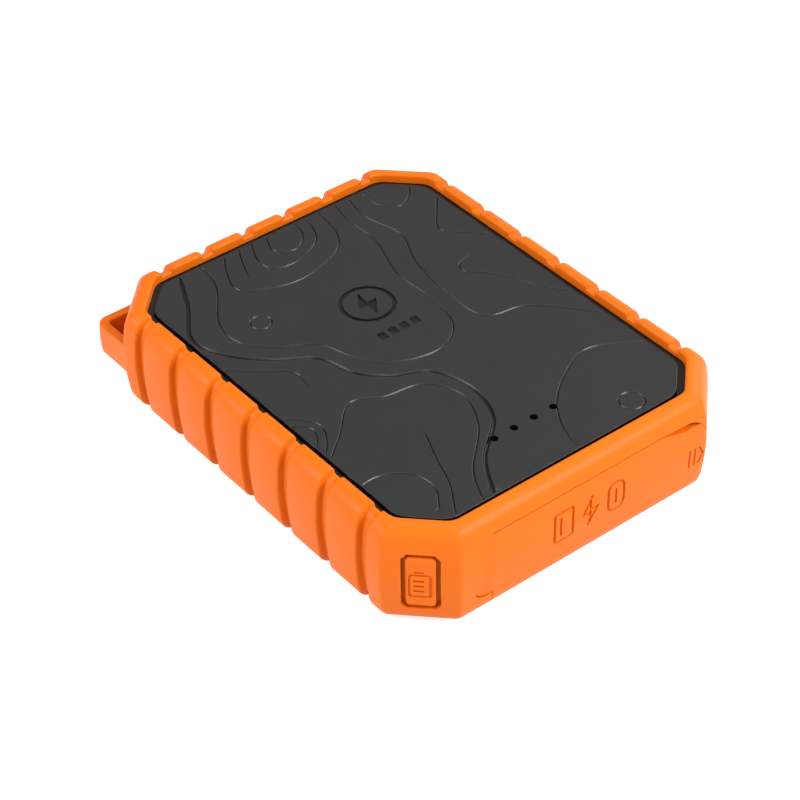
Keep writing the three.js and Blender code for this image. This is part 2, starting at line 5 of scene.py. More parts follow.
import bpy
import numpy as np
from mathutils import Matrix, Vector
from mathutils.geometry import delaunay_2d_cdt


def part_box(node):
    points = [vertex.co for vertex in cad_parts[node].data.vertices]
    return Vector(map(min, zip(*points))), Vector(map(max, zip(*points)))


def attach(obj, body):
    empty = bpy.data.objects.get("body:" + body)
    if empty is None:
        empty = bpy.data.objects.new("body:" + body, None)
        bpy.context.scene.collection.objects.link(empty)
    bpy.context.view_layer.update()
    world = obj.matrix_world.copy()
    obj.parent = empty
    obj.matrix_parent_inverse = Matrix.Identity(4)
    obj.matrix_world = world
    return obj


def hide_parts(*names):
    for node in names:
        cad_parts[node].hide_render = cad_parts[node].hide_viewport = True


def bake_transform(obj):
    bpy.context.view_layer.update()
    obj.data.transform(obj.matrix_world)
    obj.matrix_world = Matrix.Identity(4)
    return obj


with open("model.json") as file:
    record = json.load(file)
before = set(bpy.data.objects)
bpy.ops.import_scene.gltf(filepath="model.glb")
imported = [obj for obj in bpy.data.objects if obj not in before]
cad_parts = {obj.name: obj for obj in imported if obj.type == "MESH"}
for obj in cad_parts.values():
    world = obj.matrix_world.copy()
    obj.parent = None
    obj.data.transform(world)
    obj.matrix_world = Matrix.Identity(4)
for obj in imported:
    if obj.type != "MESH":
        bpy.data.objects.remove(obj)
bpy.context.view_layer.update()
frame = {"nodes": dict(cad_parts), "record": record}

# Shapes are worked out in millimetres; make_piece() turns them into metres.
MM = 0.001


def box_mm(node):
    low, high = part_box(node)
    return np.array(low) / MM, np.array(high) / MM


# ---- Sizes from the frame ----
bumper_low, bumper_high = box_mm("bumper")
panel_low, panel_high = box_mm("top_panel")
flap_low, flap_high = box_mm("port_flap")
hinge_low = box_mm("flap_hinge")[0]
loop_low, loop_high = box_mm("lanyard_loop")
button_low, button_high = box_mm("power_button")
led_boxes = [box_mm(f"led_{i}") for i in range(1, 5)]

HEIGHT = bumper_high[2]
MID = HEIGHT / 2
# A growth is a distance outwards from the outline of the panel's opening.
BULGE = 5.3
OPEN_X = bumper_high[0] - BULGE
OPEN_Y = bumper_high[1] - BULGE
OPEN_CUT = 8.5
FACE_Y = bumper_low[1]

# ---- Bumper ----
OPENING_RADIUS = 4.5
OUTER_RADIUS = 1.4
LIP = 2.4
WALL_GROW = 2.3
REST_LAND = 1.5
CROWN_DROP = 0.2
BASE_FULLNESS = 0.5
EDGE = 0.7
GROOVE_WIDTH = 3.1
GROOVE_DEPTH = 1.4
GROOVE_LIP_DEPTH = 1.0
# From a groove's edge inwards: (distance, share of the groove's depth).
GROOVE_PROFILE = [(-0.45, 0.0), (-0.22, 0.04), (-0.06, 0.14), (0.04, 0.30), (0.2, 0.95), (0.4, 1.0)]
SIDE_GROOVES = [(i - 3) * 13.13 for i in range(7)]
END_GROOVES = [(i - 2.5) * 11.3 for i in range(6)]
GROOVES = {0: SIDE_GROOVES, 2: END_GROOVES, 4: SIDE_GROOVES}

# ---- Flap, button and panel ----
SLIT = 0.22
TOP_SLIT = 0.34
TIGHT_SLIT = 0.03
FLAP_EDGE = 0.12
FLAP_THICK = 2.0
THINNEST_FLAP = 0.4
POCKET_DEPTH = 2.3
FLAP_CORNER = 7.0
FLAP_CORNER_PULL = 3.1
FLAP_LOW_CORNER = 1.3
HINGE_SINK = 0.35
HINGE_OVERLAP = 0.15
HINGE_RADIUS = 2.6
HINGE_THICK = 0.9
NOTCH_LEFT = 21.0
NOTCH_LOW = 28.5
NOTCH_RIGHT = 31.9
NOTCH_DEPTH = 1.5
ENGRAVING = 0.45
WALL_SLOPE = 0.12
BUTTON_WIDTH = 6.2
BUTTON_FACE = BULGE - 0.2
BUTTON_BACK = 3.4
BUTTON_EDGE = 0.35
RECESS_WIDTH = 8.0
RECESS_HEIGHT = 14.5
RECESS_Z = 11.8
RECESS_CUT = 1.2
RECESS_FLOOR = 2.7
STEM_WIDTH = 3.4
STEM_HEIGHT = 3.2
STEM_Z = 11.0
LED_HOLE_RADIUS = 0.925
EMBLEM_Y = 15.5
TICKS_Y = 4.4
PANEL_INSET = 1.65
PANEL_DROP = 0.2
PANEL_FACE = panel_high[2] - PANEL_DROP
# (distance in, depth) rows down the panel's edge.
PANEL_EDGE = [(0, 0.9), (0.01, 0.1), (0.05, 0.03), (0.1, 0), (0.25, 0)]


# ---- Small geometry helpers ----
MITRE_LIMIT = 0.35


def turned(angle):
    return np.array([math.cos(angle), math.sin(angle)])


def bezier(points, count):
    """Points along a quadratic or cubic curve, without its first one."""
    degree = len(points) - 1
    share = np.linspace(0, 1, count + 1)[1:, None]
    terms = [
        math.comb(degree, k) * share**k * (1 - share) ** (degree - k) * np.array(point)
        for k, point in enumerate(points)
    ]
    return sum(terms)


def arc(centre, radius, start, end, count):
    angles = np.radians(np.linspace(start, end, count + 1))
    return np.array([centre + radius * turned(angle) for angle in angles])


def smoothstep(value):
    value = np.clip(value, 0, 1)
    return value * value * (3 - 2 * value)


def make_piece(name, points, faces, smooth_angle=38):
    mesh = bpy.data.meshes.new(name)
    mesh.from_pydata((np.array(points) * MM).tolist(), [], [list(map(int, face)) for face in faces])
    mesh.validate()
    piece = bpy.data.objects.new(name, mesh)
    bpy.context.scene.collection.objects.link(piece)
    shade(piece, smooth_angle)
    return piece


def shade(piece, smooth_angle):
    piece.data.shade_smooth()
    piece.data.set_sharp_from_angle(angle=math.radians(smooth_angle))


def apply_modifiers(piece):
    graph = bpy.context.evaluated_depsgraph_get()
    result = bpy.data.meshes.new_from_object(piece.evaluated_get(graph))
    piece.modifiers.clear()
    piece.data = result


def combine(target, tool, operation):
    """Joins or cuts target with tool, and removes the tool."""
    modifier = target.modifiers.new("combine", "BOOLEAN")
    modifier.operation = operation
    modifier.solver = "EXACT"
    modifier.object = tool
    apply_modifiers(target)
    bpy.data.objects.remove(tool)


def soften(piece, width, segments):
    bevel = piece.modifiers.new("edges", "BEVEL")
    bevel.width = width * MM
    bevel.segments = segments
    bevel.limit_method = "ANGLE"
    bevel.angle_limit = math.radians(40)
    apply_modifiers(piece)


def around(loop):
    """Each point's number with the next one's, round a closed loop."""
    return [(i, (i + 1) % len(loop)) for i in range(len(loop))]


def stack(name, rings):
    """A closed solid through rings of points, counter-clockwise as seen from the last one's side."""
    count = len(rings[0])
    last = count * (len(rings) - 1)
    sides = [
        (k + i, k + j, k + count + j, k + count + i)
        for k in range(0, last, count) for i, j in around(rings[0])
    ]
    ends = [tuple(range(last, last + count)), tuple(reversed(range(count)))]
    return make_piece(name, np.vstack(rings), [*sides, *ends])


def extrude(name, loop, low, high, place):
    """A closed solid: the loop, counter-clockwise as seen from outside, from depth low out to high."""
    return stack(name, [[place(u, v, w) for u, v in loop] for w in (low, high)])


def rounded_rectangle(centre, width, height, radius, steps=5):
    right, top = width / 2 - radius, height / 2 - radius
    quarter = [(right, -top, -90), (right, top, 0), (-right, top, 90), (-right, -top, 180)]
    parts = [
        arc(np.array([u, v]), radius, start, start + 90, steps) for u, v, start in quarter
    ]
    return np.vstack(parts) + np.array(centre)


def inset(loop, distance):
    """The loop, counter-clockwise, moved inwards by a small distance."""
    before = loop - np.roll(loop, 1, axis=0)
    after = np.roll(loop, -1, axis=0) - loop
    normals = []
    for a, b in zip(before, after):
        left_a = np.array([-a[1], a[0]]) / np.hypot(*a)
        left_b = np.array([-b[1], b[0]]) / np.hypot(*b)
        middle = left_a + left_b
        normals.append(middle / max(middle @ left_a, MITRE_LIMIT))
    return loop + np.array(normals) * distance


def resample(loop, spacing):
    """The closed loop with more points on its long edges."""
    points = []
    for start, end in zip(loop, np.roll(loop, -1, axis=0)):
        count = max(1, math.ceil(np.hypot(*(end - start)) / spacing))
        points += [start + (end - start) * k / count for k in range(count)]
    return np.array(points)


def contains(loop, points):
    """Which points lie inside the closed loop."""
    x, y = points[:, 0], points[:, 1]
    inside = np.zeros(len(points), bool)
    for (x0, y0), (x1, y1) in zip(loop, np.roll(loop, -1, axis=0)):
        if y0 == y1:
            continue
        crossing = (y0 > y) != (y1 > y)
        inside ^= crossing & (x < (x1 - x0) * (y - y0) / (y1 - y0) + x0)
    return inside


# ---- Plates with raised and sunk detail ----
def engraved(loop, depth, wall=WALL_SLOPE):
    """A sunk area: its loop, the depths inside and outside it, and its sloped wall's width."""
    return [(loop, depth, 0.0, wall)]


def engraved_line(outer, inner, depth):
    """A sunk line with its own thickness, between two loops."""
    return [(outer, depth, 0.0, WALL_SLOPE), (inner, 0.0, depth, WALL_SLOPE)]


def depth_at(points, features):
    """The depth inside the last feature round each point, or 0."""
    depth = np.zeros(len(points))
    for loop, inside, *_ in features:
        depth[contains(loop, points)] = inside
    return depth


def free_grid(border, edge, loops, lines, spacing):
    """Grid points inside the border's edge, clear of the loops and of the lines' points."""
    low, high = border.min(axis=0), border.max(axis=0)
    us, vs = (np.arange(low[k] + spacing / 2, high[k], spacing) for k in (0, 1))
    grid = np.array([(u, v) for v in vs for u in us])
    free = contains(inset(border, edge + spacing / 4), grid)
    for loop in loops:
        near = contains(inset(loop, -spacing / 4), grid) & ~contains(inset(loop, spacing / 4), grid)
        free &= ~near
    for points, *_ in lines:
        for point in points:
            free &= np.abs(grid - point).max(axis=1) > spacing / 3
    return grid[free]


def plate(name, border, edge_rows, holes, features, spacing, place, back, smooth_angle, lines=()):
    """A closed plate seen from its front.

    edge_rows are (distance in from the border, depth) rows of its rounded edge, features are
    (loop, depth inside, depth outside, wall), and lines are (points, edges, depth) that the surface
    follows. place(uv, depth) gives places in space, and back is the depth of the rear face.
    """
    coords, depths, edges = [], [], []

    def add(points, depth, pairs):
        first = len(coords)
        coords.extend(points.tolist())
        depths.extend(np.broadcast_to(depth, len(points)).tolist())
        edges.extend((first + a, first + b) for a, b in pairs)

    for distance, depth in edge_rows:
        add(inset(border, distance), depth, around(border))
    for hole in holes:
        add(hole, 0, around(hole))
    for loop, inside, outside, wall in features:
        add(loop, outside, around(loop))
        add(inset(loop, wall), inside, around(loop))
    for points, pairs, depth in lines:
        add(points, depth, pairs)
    loops = [*holes, *(feature[0] for feature in features)]
    grid = free_grid(border, edge_rows[-1][0], loops, lines, spacing)
    add(grid, depth_at(grid, features), [])

    found = delaunay_2d_cdt([Vector(c) for c in coords], edges, [], 0, 1e-5)
    points = np.array([tuple(p) for p in found[0]])
    depth = depth_at(points, features)
    for k, sources in enumerate(found[3]):
        if sources:
            depth[k] = max(depths[i] for i in sources)
    triangles = np.array(found[2])
    centres = points[triangles].mean(axis=1)
    keep = contains(border, centres)
    for hole in holes:
        keep &= ~contains(hole, centres)
    return close_plate(name, points, depth, triangles[keep], place, back, smooth_angle)


def close_plate(name, points, depth, triangles, place, back, smooth_angle):
    """The front's triangles with a rear face behind them and walls between the two."""
    count = len(points)
    places = np.vstack([place(points, depth), place(points, np.full(count, float(back)))])
    directed = {(a, b) for t in triangles.tolist() for a, b in zip(t, t[1:] + t[:1])}
    rim = [(a, b) for a, b in directed if (b, a) not in directed]
    walls = [(b, a, count + a, count + b) for a, b in sorted(rim)]
    faces = [*triangles.tolist(), *(triangles[:, ::-1] + count).tolist(), *walls]
    used = sorted({i for face in faces for i in face})
    renumber = {old: new for new, old in enumerate(used)}
    faces = [[renumber[i] for i in face] for face in faces]
    return make_piece(name, places[used], faces, smooth_angle)


def rounded_edge(radius, steps=4):
    """(distance in, depth) rows round a quarter circle."""
    angles = np.linspace(0, math.pi / 2, steps + 1)
    return [(radius * (1 - math.cos(a)), radius * (1 - math.sin(a))) for a in angles]


# ---- The eight-sided outline ----
EIGHTH = math.pi / 4
CORNERS = np.array([
    (OPEN_X, OPEN_CUT - OPEN_Y), (OPEN_X, OPEN_Y - OPEN_CUT),
    (OPEN_X - OPEN_CUT, OPEN_Y), (OPEN_CUT - OPEN_X, OPEN_Y),
    (-OPEN_X, OPEN_Y - OPEN_CUT), (-OPEN_X, OPEN_CUT - OPEN_Y),
    (OPEN_CUT - OPEN_X, -OPEN_Y), (OPEN_X - OPEN_CUT, -OPEN_Y),
])


def corner_stations(corner, steps=8):
    """(point, growth, groove share) round one corner, which gets sharper towards the outside."""
    mitre = turned((corner - 0.5) * EIGHTH) / math.cos(EIGHTH / 2)
    centre = CORNERS[corner] - mitre * OPENING_RADIUS
    sharpening = (OUTER_RADIUS - OPENING_RADIUS) / BULGE
    directions = [turned((corner - 1 + k / steps) * EIGHTH) for k in range(steps + 1)]
    return [
        (centre + OPENING_RADIUS * direction, mitre + sharpening * (direction - mitre), 0.0)
        for direction in directions
    ]


def side_stations(side):
    """(point, growth, groove share) along one side, close together at each groove's walls."""
    outward = turned(side * EIGHTH)
    along = turned(side * EIGHTH + math.pi / 2)
    middle = (CORNERS[side] + CORNERS[(side + 1) % 8]) / 2
    start = [(distance - GROOVE_WIDTH / 2, share) for distance, share in GROOVE_PROFILE]
    end = [(-offset, share) for offset, share in reversed(start)]
    return [
        (middle + along * (centre + offset), outward, share)
        for centre in GROOVES.get(side, []) for offset, share in [*start, (0, 1.0), *end]
    ]


def outline(grow, steps=5):
    stations = [station for corner in range(8) for station in corner_stations(corner, steps)]
    return np.array([point + growth * grow for point, growth, _ in stations])


def half_section(drop, fullness=0):
    """The bumper's outer section from the middle plane up: (growth, height) points."""
    shoulder = (BULGE - 0.55, 7.6)
    crown = (REST_LAND, MID - drop)
    brow = (EDGE, MID - drop * EDGE / REST_LAND)
    rounding = [
        (EDGE * (1 - math.sin(angle)), brow[1] - EDGE * (1 - math.cos(angle)))
        for angle in np.radians([22.5, 45, 67.5, 90])
    ]
    return np.vstack([
        [(BULGE, 0)],
        bezier([(BULGE, 0), (BULGE - 0.1, 4.5), shoulder], 8),
        bezier([shoulder, (BULGE - 0.9 + fullness / 2, 10), (BULGE - 1.7 + fullness, MID - 0.8), crown], 14),
        bezier([crown, ((crown[0] + brow[0]) / 2, (crown[1] + brow[1]) / 2), brow], 3),
        rounding,
    ])


def outer_section():
    upper = half_section(CROWN_DROP)
    lower = half_section(0, BASE_FULLNESS) * (1, -1)
    return np.vstack([lower[::-1], upper[1:]])


SECTION = outer_section()


def side_growth(height):
    """How far the smooth outer face stands out at a height above the underside."""
    face = SECTION[SECTION[:, 0] > REST_LAND]
    return np.interp(np.asarray(height) - MID, face[:, 1], face[:, 0])


def groove_push(section):
    """How each section point moves, (growth, height), at the floor of a groove."""
    ahead = np.gradient(section, axis=0)
    normal = np.stack([ahead[:, 1], -ahead[:, 0]], axis=1)
    normal /= np.hypot(normal[:, 0], normal[:, 1])[:, None]
    push = normal * (-GROOVE_DEPTH, -GROOVE_LIP_DEPTH)
    edge = section[:, 0] < EDGE + 0.01
    push[edge] = np.stack([0 * section[edge, 0], -np.sign(section[edge, 1]) * GROOVE_LIP_DEPTH], axis=1)
    return push


def ring(name, stations, section, push):
    """A closed band: the section carried round the stations."""
    rows = []
    for point, growth, share in stations:
        moved = section + push * share
        places = point + growth * moved[:, :1]
        rows.append(np.column_stack([places, moved[:, 1] + MID]))
    count = len(section)
    faces = [
        (here * count + j, ahead * count + j, ahead * count + k, here * count + k)
        for here, ahead in around(rows) for j, k in around(section)
    ]
    return make_piece(name, np.vstack(rows), faces)


# ---- Places on the front face and on the cut corner ----
def on_front(u, v, y):
    return (u, y, v)


CUT_OUT = turned(5 * EIGHTH)
CUT_ALONG = turned(-EIGHTH)
CUT_MIDDLE = (CORNERS[5] + CORNERS[6]) / 2


def on_cut(u, v, grow):
    place = CUT_MIDDLE + CUT_ALONG * u + CUT_OUT * grow
    return (place[0], place[1], v)


# ---- Bumper with its lanyard loop ----
def hinge_outline(margin):
    left, right = hinge_low[0] - margin, flap_low[0] - SLIT
    bottom, top = hinge_low[2] - margin, flap_high[2]
    radius = HINGE_RADIUS + margin
    corner = arc(np.array([left + radius, bottom + radius]), radius, 180, 270, 8)
    return np.vstack([corner, [(right + 0.01, bottom), (right + 0.01, top), (left, top)]])


def flap_top_corner(margin=0):
    """The rounded top corner at +X, without its lower end, up and over to the left."""
    right, top = flap_high[0] + margin, flap_high[2] + margin
    start, end = (right, top - FLAP_CORNER), (right - FLAP_CORNER, top)
    return bezier([start, (right - FLAP_CORNER_PULL, top), end], 10)


def flap_low_corner(margin=0):
    """The rounded bottom corner at +X, from below up to the end of the flap."""
    radius = FLAP_LOW_CORNER
    centre = np.array([flap_high[0] - radius, flap_low[2] + radius])
    return arc(centre, radius + margin, 270, 360, 8)


def flap_pocket():
    floor = flap_low[1] + POCKET_DEPTH
    front = FACE_Y - 1
    left, bottom = flap_low[0] - SLIT, flap_low[2] - SLIT
    right, top = flap_high[0] + SLIT, flap_high[2] + TOP_SLIT
    loop = np.vstack([
        [(left, bottom)], flap_low_corner(SLIT), [(right, top - FLAP_CORNER)],
        flap_top_corner(TIGHT_SLIT),
        [(NOTCH_LEFT, top), (left, top)],
    ])
    pocket = extrude("pocket_tool", loop, floor, front, on_front)
    hinge = extrude("hinge_tool", hinge_outline(SLIT), floor, front, on_front)
    combine(pocket, hinge, "UNION")
    return pocket


def port_window():
    centre = (3.5, 11.4)
    width, height, radius = 52, 13, 1.5
    loop = rounded_rectangle(centre, width, height, radius)
    return extrude("window_tool", loop, -OPEN_Y, FACE_Y - 1, on_front)


def cut_rectangle(width, height, cut):
    """A rectangle with its corners cut off, centred on the button's recess."""
    right, top = width / 2, height / 2
    corners = [
        (right - cut, -top), (right, cut - top), (right, top - cut), (right - cut, top),
        (cut - right, top), (-right, top - cut), (-right, cut - top), (cut - right, -top),
    ]
    return resample(np.array(corners, float), 0.8) + (0, RECESS_Z)


def button_recess():
    """A sunk well whose mouth flares, so that the rubber's edge round it is rounded."""
    loop = cut_rectangle(RECESS_WIDTH, RECESS_HEIGHT, RECESS_CUT)
    flare = 0.4
    rings = [(inset(loop, 0), np.full(len(loop), RECESS_FLOOR))]
    for angle in np.radians([0, 20, 40, 60, 78]):
        grown = inset(loop, -flare * (1 - math.cos(angle)))
        rings.append((grown, side_growth(grown[:, 1]) - flare * (1 - math.sin(angle))))
    grown = inset(loop, -flare * 1.1)
    rings.append((grown, np.full(len(loop), BULGE + 2)))
    return stack("recess_tool", [
        [on_cut(u, v, grow) for (u, v), grow in zip(ring_loop, grows)] for ring_loop, grows in rings
    ])


def loop_band():
    """The band that closes a cut corner, with its outer faces just under the two sides' own."""
    bar = 2.2
    sunk = 0.03
    reach = 13.0
    outer_radius, inner_radius = 2.8, 1.0
    levels = []
    for height in np.linspace(loop_high[2], loop_low[2], 7):
        grow = float(side_growth(height)) - sunk
        x, y = -(OPEN_X + grow), OPEN_Y + grow
        outer = arc(np.array([x + outer_radius, y - outer_radius]), outer_radius, 180, 90, 10)
        inner_centre = np.array([x + bar + inner_radius, y - bar - inner_radius])
        inner = arc(inner_centre, inner_radius, 90, 180, 8)
        level = np.vstack([
            [(x, y - reach)], outer, [(x + reach, y)], [(x + reach, y - bar)], inner,
            [(x + bar, y - reach)],
        ])
        levels.append([(u, v, height) for u, v in level])
    return stack("loop_tool", levels)


def build_bumper():
    stations = [
        station for k in range(8) for station in [*corner_stations(k), *side_stations(k)]
    ]
    lip = MID - LIP
    inner = np.array([(0, lip), (WALL_GROW, lip), (WALL_GROW, -lip), (0, -lip)])
    section = np.vstack([SECTION, inner])
    push = np.vstack([groove_push(SECTION), np.zeros((4, 2))])
    bumper = ring("bumper_skin", stations, section, push)
    band = loop_band()
    soften(band, width=0.3, segments=3)
    combine(bumper, band, "UNION")
    for tool in (flap_pocket(), port_window(), button_recess()):
        combine(bumper, tool, "DIFFERENCE")
    stem_loop = rounded_rectangle((0, STEM_Z), STEM_WIDTH, STEM_HEIGHT, 0.4)
    stem_hole = extrude("stem_tool", stem_loop, WALL_GROW - 1, BULGE, on_cut)
    combine(bumper, stem_hole, "DIFFERENCE")
    shade(bumper, 32)
    return bumper


# ---- Port flap ----
def flap_outline():
    """The flap seen from the front, with the fingertip notch in its top edge."""
    left, right = flap_low[0], flap_high[0]
    bottom, top = flap_low[2], flap_high[2]
    low = top - NOTCH_DEPTH
    corner = np.vstack([[(right, top - FLAP_CORNER)], flap_top_corner()])
    corner = corner[corner[:, 0] > NOTCH_RIGHT]
    notch = bezier([corner[-1], (NOTCH_RIGHT - 0.9, low), (NOTCH_LOW, low)], 8)
    pull = 3
    rise = bezier([(NOTCH_LOW, low), (NOTCH_LOW - pull, low), (NOTCH_LEFT + pull, top - 0.3),
                   (NOTCH_LEFT, top)], 16)
    loop = np.vstack([
        [(left, bottom)], flap_low_corner(), corner, notch, rise, [(left, top)],
    ])
    return resample(loop, 0.8)


def bolt_outline(centre, width, height):
    """A plain lightning bolt, counter-clockwise."""
    shape = np.array([
        (0.10, 0.50), (-0.50, -0.08), (-0.06, -0.08), (-0.10, -0.50), (0.50, 0.08), (0.06, 0.08),
    ])
    return resample(shape * (width, height) + centre, 1.0)


def front_place(points, depth):
    """Places on the bank's curved front face, which turns back along the cut corner at +X."""
    x, z = points[:, 0], points[:, 1]
    grow = side_growth(z)
    straight = OPEN_Y + grow
    cut = (OPEN_X + OPEN_Y - OPEN_CUT) + grow * math.sqrt(2) - x
    turn = 0.5
    blend_over = np.clip((straight - cut) / turn, -1, 1)
    corner = np.where(
        np.abs(straight - cut) < turn,
        straight - turn * (1 + blend_over) ** 2 / 4,
        np.minimum(straight, cut),
    )
    return np.column_stack([x, -(corner - depth), z])


def front_face_place(points, depth):
    """As front_place, but the rear face is flat where that leaves the flap thick enough."""
    places = front_place(points, depth)
    rear = depth > FLAP_THICK / 2
    thinnest = places[rear, 1] - depth[rear] + THINNEST_FLAP
    places[rear, 1] = np.maximum(thinnest, flap_low[1] + FLAP_THICK)
    return places


def ring_feature(centre, width, height, radius, stroke, depth):
    inner_radius = max(radius - stroke, 0.15)
    return engraved_line(
        rounded_rectangle(centre, width, height, radius),
        rounded_rectangle(centre, width - 2 * stroke, height - 2 * stroke, inner_radius),
        depth,
    )


def build_flap():
    """The flap with its finger notch, port pictograms, opening mark and two plugs."""
    tall, stroke, middle = 8.2, 0.55, 12.5
    tall_x, bolt_x, pill_x = -6.4, 0.8, 7.9
    tall_port = ring_feature((tall_x, middle), 5.6, tall, 0.9, stroke, ENGRAVING)
    tall_tongue = engraved(rounded_rectangle((tall_x - 0.8, middle), 0.6, 5.0, 0.2), ENGRAVING)
    pill_port = ring_feature((pill_x, middle), 5.0, tall, 2.4, stroke, ENGRAVING)
    pill_tongue = engraved(rounded_rectangle((pill_x, middle), 0.6, 4.2, 0.25), ENGRAVING)
    bolt = bolt_outline((bolt_x, middle), 5.0, tall)
    bolt_mark = engraved_line(bolt, inset(bolt, 0.5), ENGRAVING)
    features = [*tall_port, *tall_tongue, *pill_port, *pill_tongue, *bolt_mark, *opening_mark()]
    flap = plate("flap_skin", flap_outline(), rounded_edge(FLAP_EDGE), [], features, spacing=1.0,
                 place=front_face_place, back=FLAP_THICK, smooth_angle=30)
    for port in ("usb_a_shell", "usb_c_shell"):
        combine(flap, build_plug(port), "UNION")
    shade(flap, 30)
    return flap


def opening_mark():
    """An arrowhead and the two bars before it, at the flap's free end."""
    middle, depth = 10.6, 0.4
    chevron = resample(np.array([
        (31.7, 8.1), (33.1, middle), (31.7, 13.1), (31.2, 12.8), (32.4, middle), (31.2, 8.4),
    ]), 0.8)
    bars = [rounded_rectangle((x, middle), 0.5, 5.0, 0.2) for x in (28.9, 30.4)]
    return [feature for loop in [chevron, *bars] for feature in engraved(loop, depth)]


def build_plug(port):
    """The soft plug on the flap's back that covers a port."""
    low, high = box_mm(port)
    centre = (low + high) / 2
    margin = 0.6
    width, height = high[0] - low[0] + 2 * margin, high[2] - low[2] + 2 * margin
    loop = rounded_rectangle((centre[0], centre[2]), width, height, 1.0, 6)
    buried_end = flap_low[1] + FLAP_THICK - margin
    return extrude("plug_tool", loop, flap_high[1], buried_end, on_front)


# ---- Hinge strip ----
def build_hinge():
    """The thin moulded strip on which the real flap bends open, a little sunk into the rubber; here it is
    one fixed shape.
    """
    left, right = hinge_low[0], flap_low[0] + HINGE_OVERLAP
    bottom, top = hinge_low[2], flap_high[2] + HINGE_OVERLAP
    steps = 24
    rows = []
    for u in np.linspace(left, right, steps + 1):
        reach = min(u - left, HINGE_RADIUS)
        lowest = bottom + HINGE_RADIUS - math.sqrt(HINGE_RADIUS**2 - (HINGE_RADIUS - reach) ** 2)
        rows += [(u, v) for v in np.linspace(lowest, top, steps + 1)]
    flat = np.array(rows)
    sunk_until = left + 1.2
    sunk = HINGE_SINK * (1 - smoothstep((flat[:, 0] - sunk_until) / (flap_low[0] - sunk_until)))
    front = front_place(flat, sunk)
    rear = front_place(flat, sunk + HINGE_THICK)
    across, count = steps + 1, len(flat)
    faces = []
    for i in range(steps):
        for j in range(steps):
            a = i * across + j
            quad = (a, a + across, a + across + 1, a + 1)
            faces.append(quad)
            faces.append(tuple(count + k for k in reversed(quad)))
    first_side = [i * across for i in range(across)]
    far_end = [steps * across + j for j in range(1, across)]
    second_side = [i * across + steps for i in reversed(range(steps))]
    near_end = list(reversed(range(1, steps)))
    rim = first_side + far_end + second_side + near_end
    for a, b in zip(rim, rim[1:] + rim[:1]):
        faces.append((b, a, count + a, count + b))
    return make_piece("hinge_skin", np.vstack([front, rear]), faces)


# ---- Button ----
def cut_place(points, depth):
    places = CUT_MIDDLE + np.outer(points[:, 0], CUT_ALONG) + np.outer(BUTTON_FACE - depth, CUT_OUT)
    return np.column_stack([places, points[:, 1]])


def build_button():
    height = button_high[2] - button_low[2]
    centre = (button_low[2] + button_high[2]) / 2
    body = resample(rounded_rectangle((0, centre), BUTTON_WIDTH, height, 0.9, 6), 0.8)
    raised, sunk = 0.12, 0.3
    icon_z = centre - 0.9
    moat = resample(rounded_rectangle((-0.1, icon_z), 4.9, 6.2, 0.7), 0.8)
    body_of_icon = resample(rounded_rectangle((-0.2, icon_z), 3.9, 5.3, 0.5), 0.8)
    nub = rounded_rectangle((-0.3, icon_z + 3.6), 2.0, 0.6, 0.2)
    bars = [
        (rounded_rectangle((-0.35, icon_z + rise), 2.2, 0.5, 0.15, 3), 0.4, -raised, 0.1)
        for rise in (-1.35, 0, 1.35)
    ]
    features = [(moat, sunk, 0.0, WALL_SLOPE), (body_of_icon, -raised, sunk, WALL_SLOPE),
                (nub, sunk, 0.0, WALL_SLOPE), *bars]
    return plate("button_skin", body, rounded_edge(BUTTON_EDGE), [], features, spacing=0.9,
                 place=cut_place, back=BUTTON_FACE - BUTTON_BACK, smooth_angle=30)


# ---- Contour panel ----
# Engraved lines: (half width of the floor, depth).
THIN = (0.0, 0.3)
WIDE = (0.28, 0.6)
# Rows beside a line: (distance from its floor, share of its depth).
LINE_PROFILE = [(0.4, 0.0), (0.27, 0.0), (0.18, 0.1), (0.06, 0.9), (0.0, 1.0)]
LINE_SPACING = 0.9
